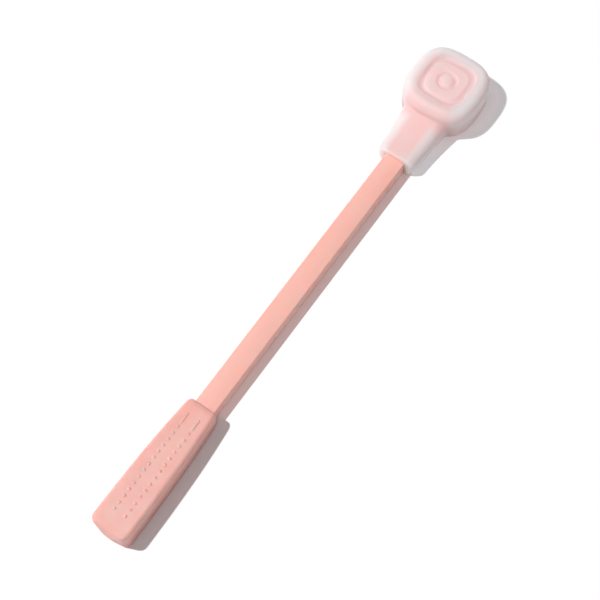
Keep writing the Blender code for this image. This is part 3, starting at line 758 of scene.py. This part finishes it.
def frosted_silicone():
    """Frosted silicone: milky, pinker over the pieces under it, and with painted shade at the head's
    base.
    """
    look = Look(
        "frosted_silicone",
        Subsurface_Weight=1.0,
        Subsurface_Radius=(1.0, 0.42, 0.39),
        Subsurface_Scale=0.015,
        Specular_IOR_Level=0.25,
        Sheen_Weight=0.05,
        Sheen_Roughness=0.5,
    )
    wall = HEAD_X - HEAD_WIDTH / 2
    rod_low = ROD_BOX[0] + Vector((0, VEIL_EDGE, 0))
    rod_high = Vector((wall, ROD_BOX[1].y - VEIL_EDGE, ROD_BOX[1].z))
    root_low = Vector((wall - ROOT_RUN, -ROOT_HALF_WIDTH, 0))
    root_high = Vector((CORE_BOX[0].x, ROOT_HALF_WIDTH, ROD_BOX[1].z))
    over_core = look.veil(*CORE_BOX, HEAD_CORE_RADIUS, CORE_VEIL_LENGTH)
    over_rod = look.veil(rod_low, rod_high, 0.0, ROD_VEIL_LENGTH)
    over_root = look.veil(root_low, root_high, ROOT_RADIUS, ROOT_VEIL_LENGTH)
    veils = ((over_core, CORE_VEIL_RANGE), (over_rod, ROD_VEIL_RANGE), (over_root, ROOT_VEIL_RANGE))
    clouds = look.noise(scale=60)
    shown = 0.0
    for veil, strengths in veils:
        seen = look.number("MULTIPLY", veil, look.spread(clouds, *strengths))
        shown = look.number("MAXIMUM", shown, seen)
    tone = look.mix(shown, look.vary(clouds, MILKS), srgb(*VEIL_PINK))
    # Painted shade: the head, from its near wall on, turns darker and pinker towards its base
    low = look.ramp(look.along("Z"), *HEAD_PAINTED_SHADE_LEVELS, 1, 0)
    on_head = look.ramp(look.along("X"), wall, wall + HEAD_PAINTED_SHADE_RUN, 0, 1)
    look.use("Base Color", look.mix(look.number("MULTIPLY", low, on_head), tone, srgb(*MILK_PAINTED_SHADE)))
    grain = look.noise(scale=5200, detail=2)
    look.use("Roughness", look.spread(grain, low=0.45, high=0.55))
    look.bump(grain, strength=0.1, distance=0.00003)
    through = look.mix(over_core, FROST_THROUGH, FROST_OVER_CORE_THROUGH)
    look.let_lamps_through(through, CORE_BOX, ROD_BOX)
    return look.material


def moulded_plastic(name, colours, through=None):
    """Satin plastic with the faint waviness of a moulding."""
    look = Look(name, Specular_IOR_Level=0.5)
    look.use("Base Color", look.vary(look.noise(scale=90), colours))
    skin = look.noise(scale=2600, detail=2)
    look.use("Roughness", look.spread(skin, low=0.38, high=0.5))
    look.bump(skin, strength=0.08, distance=0.00004)
    if through:
        look.let_lamps_through(through)
    return look.material


def drawn_steel(name, greys, stretch, through=None):
    """Steel with lines along one direction."""
    look = Look(name, Metallic=1.0)
    lines = look.noise(scale=3200, stretch=stretch)
    look.use("Base Color", look.vary(lines, greys))
    look.use("Roughness", look.spread(lines, low=0.26, high=0.42))
    look.bump(lines, strength=0.1, distance=0.00002)
    if through:
        look.let_lamps_through(through)
    return look.material


def paint_inner_pieces():
    """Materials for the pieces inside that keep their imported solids."""
    grip_plastic = moulded_plastic("grip_core_plastic", GRIP_CORE_WHITES)
    head_plastic = moulded_plastic("head_core_plastic", HEAD_CORE_PINKS, through=HEAD_CORE_THROUGH)
    steel = drawn_steel("screw_steel", SCREW_GREYS, SCREW_STRETCH)
    for name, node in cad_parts.items():
        look = steel if "screw" in name else head_plastic if "head" in name else grip_plastic
        if not node.hide_render:
            node.data.materials.clear()
            node.data.materials.append(look)


def shown_directly(tree):
    """1 for rays that show a thing to the camera, straight or in gloss and glass, and otherwise 0."""
    path = tree.nodes.new("ShaderNodeLightPath")
    shown = path.outputs["Is Camera Ray"]
    for kind in ("Is Glossy Ray", "Is Transmission Ray"):
        either = tree.nodes.new("ShaderNodeMath")
        either.operation = "MAXIMUM"
        tree.links.new(shown, either.inputs[0])
        tree.links.new(path.outputs[kind], either.inputs[1])
        shown = either.outputs[0]
    return shown


def make_floor():
    """Plain floor that keeps the object's shadow and shows as white paper."""
    bm = bmesh.new()
    bmesh.ops.create_grid(bm, x_segments=1, y_segments=1, size=FLOOR_HALF)
    floor = add_object("floor", bm)
    floor.location.z = -FLOOR_DROP
    look = Look(
        "floor_paper",
        Base_Color=FLOOR_COLOUR,
        Roughness=0.9,
        Specular_IOR_Level=0,
        Emission_Color=WHITE,
    )
    look.use("Emission Strength", look.number("MULTIPLY", shown_directly(look.tree), FLOOR_GLOW))
    floor.data.materials.append(look.material)


def make_room():
    """Even light from all round, which the camera sees as white."""
    world = bpy.data.worlds.new("room")
    bpy.context.scene.world = world
    world.use_nodes = True
    tree = world.node_tree
    light = tree.nodes["Background"]
    light.inputs["Color"].default_value = ROOM_COLOUR
    light.inputs["Strength"].default_value = ROOM_STRENGTH
    white = tree.nodes.new("ShaderNodeBackground")
    white.inputs["Color"].default_value = WHITE
    white.inputs["Strength"].default_value = 1
    mixer = tree.nodes.new("ShaderNodeMixShader")
    tree.links.new(shown_directly(tree), mixer.inputs[0])
    tree.links.new(light.outputs[0], mixer.inputs[1])
    tree.links.new(white.outputs[0], mixer.inputs[2])
    tree.links.new(mixer.outputs[0], tree.nodes["World Output"].inputs["Surface"])


def make_lamp():
    """Lamp near the photograph's upper left, which lights the whole floor alike."""
    lamp = bpy.data.lights.new("lamp", "POINT")
    lamp.energy = 4 * math.pi * LAMP_STRENGTH
    lamp.shadow_soft_size = LAMP_RADIUS
    lamp.use_nodes = True
    tree = lamp.node_tree
    falloff = tree.nodes.new("ShaderNodeLightFalloff")
    falloff.inputs["Strength"].default_value = 1
    tree.links.new(falloff.outputs["Constant"], tree.nodes["Emission"].inputs["Strength"])
    holder = bpy.data.objects.new("lamp", lamp)
    holder.location = LAMP_PLACE
    bpy.context.scene.collection.objects.link(holder)


def make_camera():
    """Long lens above the hammer, turned and rolled as in the photograph."""
    lens = bpy.data.cameras.new("camera")
    lens.lens = lens.sensor_width * VIEW_DISTANCE * PIXELS_PER_METRE / IMAGE_SIZE
    camera = bpy.data.objects.new("camera", lens)
    turn = Matrix.Rotation(VIEW_TURN, 3, "Z") @ Matrix.Rotation(VIEW_TILT, 3, "X")
    turn = turn @ Matrix.Rotation(VIEW_ROLL, 3, "Z")
    camera.rotation_euler = turn.to_euler()
    camera.location = VIEW_CENTRE + turn @ Vector((0, 0, VIEW_DISTANCE))
    bpy.context.scene.collection.objects.link(camera)
    bpy.context.scene.camera = camera


make_camera()
make_grip(pink_silicone("grip_silicone", GRIP_PINKS, GRIP_PAINTED_SHADE, GRIP_GLOW_DEPTH))
rod_look = pink_silicone(
    "rod_silicone", ROD_PINKS, ROD_PAINTED_SHADING, ROD_GLOW_DEPTH, stretch=ROD_STRETCH, through=ROD_THROUGH
)
divided_copy("flexible_rod", "rod_sheath", rod_look, "rod_silicone")
strip_look = drawn_steel("spring_steel", STRIP_GREYS, STRIP_STRETCH, through=ALL_THROUGH)
divided_copy("spring", "spring_strip", strip_look, "spring_steel")
make_head(frosted_silicone())
paint_inner_pieces()
make_floor()
make_room()
make_lamp()
bpy.context.scene.view_settings.view_transform = "Standard"
